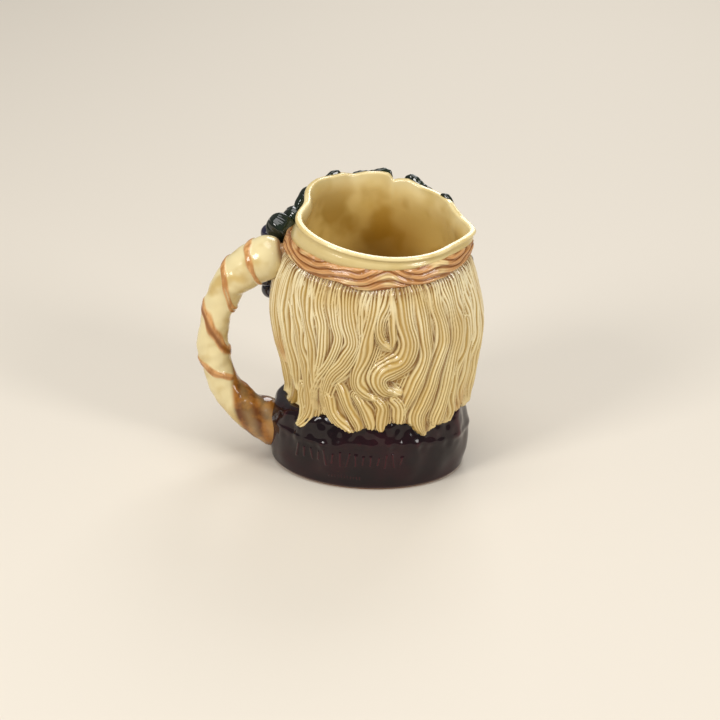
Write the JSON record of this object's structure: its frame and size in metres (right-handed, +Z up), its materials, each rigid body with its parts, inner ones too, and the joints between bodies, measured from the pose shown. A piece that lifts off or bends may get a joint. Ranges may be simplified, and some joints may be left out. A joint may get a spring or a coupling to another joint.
{
  "type": "toby jug",
  "caption": "Glazed earthenware jug cast as a bearded head in a vine wreath, with a pouring lip on one side, a bent branch handle on the other and a robe collar as its foot.",
  "frame": {"origin": "middle of the foot, on the surface that the jug stands on", "axes": "+Z up; the face looks along -Y; the handle is on the +X side and the pouring lip on the -X side"},
  "size_m": [0.1795, 0.1368, 0.1752],
  "materials": {
    "cream_glaze": "glossy cream-yellow glaze with ochre mottling inside",
    "hair_glaze": "glossy straw glaze, pale on the strands and ochre to brown in the grooves",
    "band_glaze": "glossy terracotta glaze over pale fibres with brown lines",
    "robe_glaze": "glossy near-black aubergine glaze, redder where it is thin",
    "skin_glaze": "glossy warm flesh glaze",
    "leaf_glaze": "glossy near-black green glaze",
    "grape_glaze": "glossy dark blue-purple glaze",
    "branch_glaze": "glossy cream glaze with orange-brown vine and root"
  },
  "bodies": {
    "root": {"jug": "cream_glaze"}
  },
  "joints": []
}
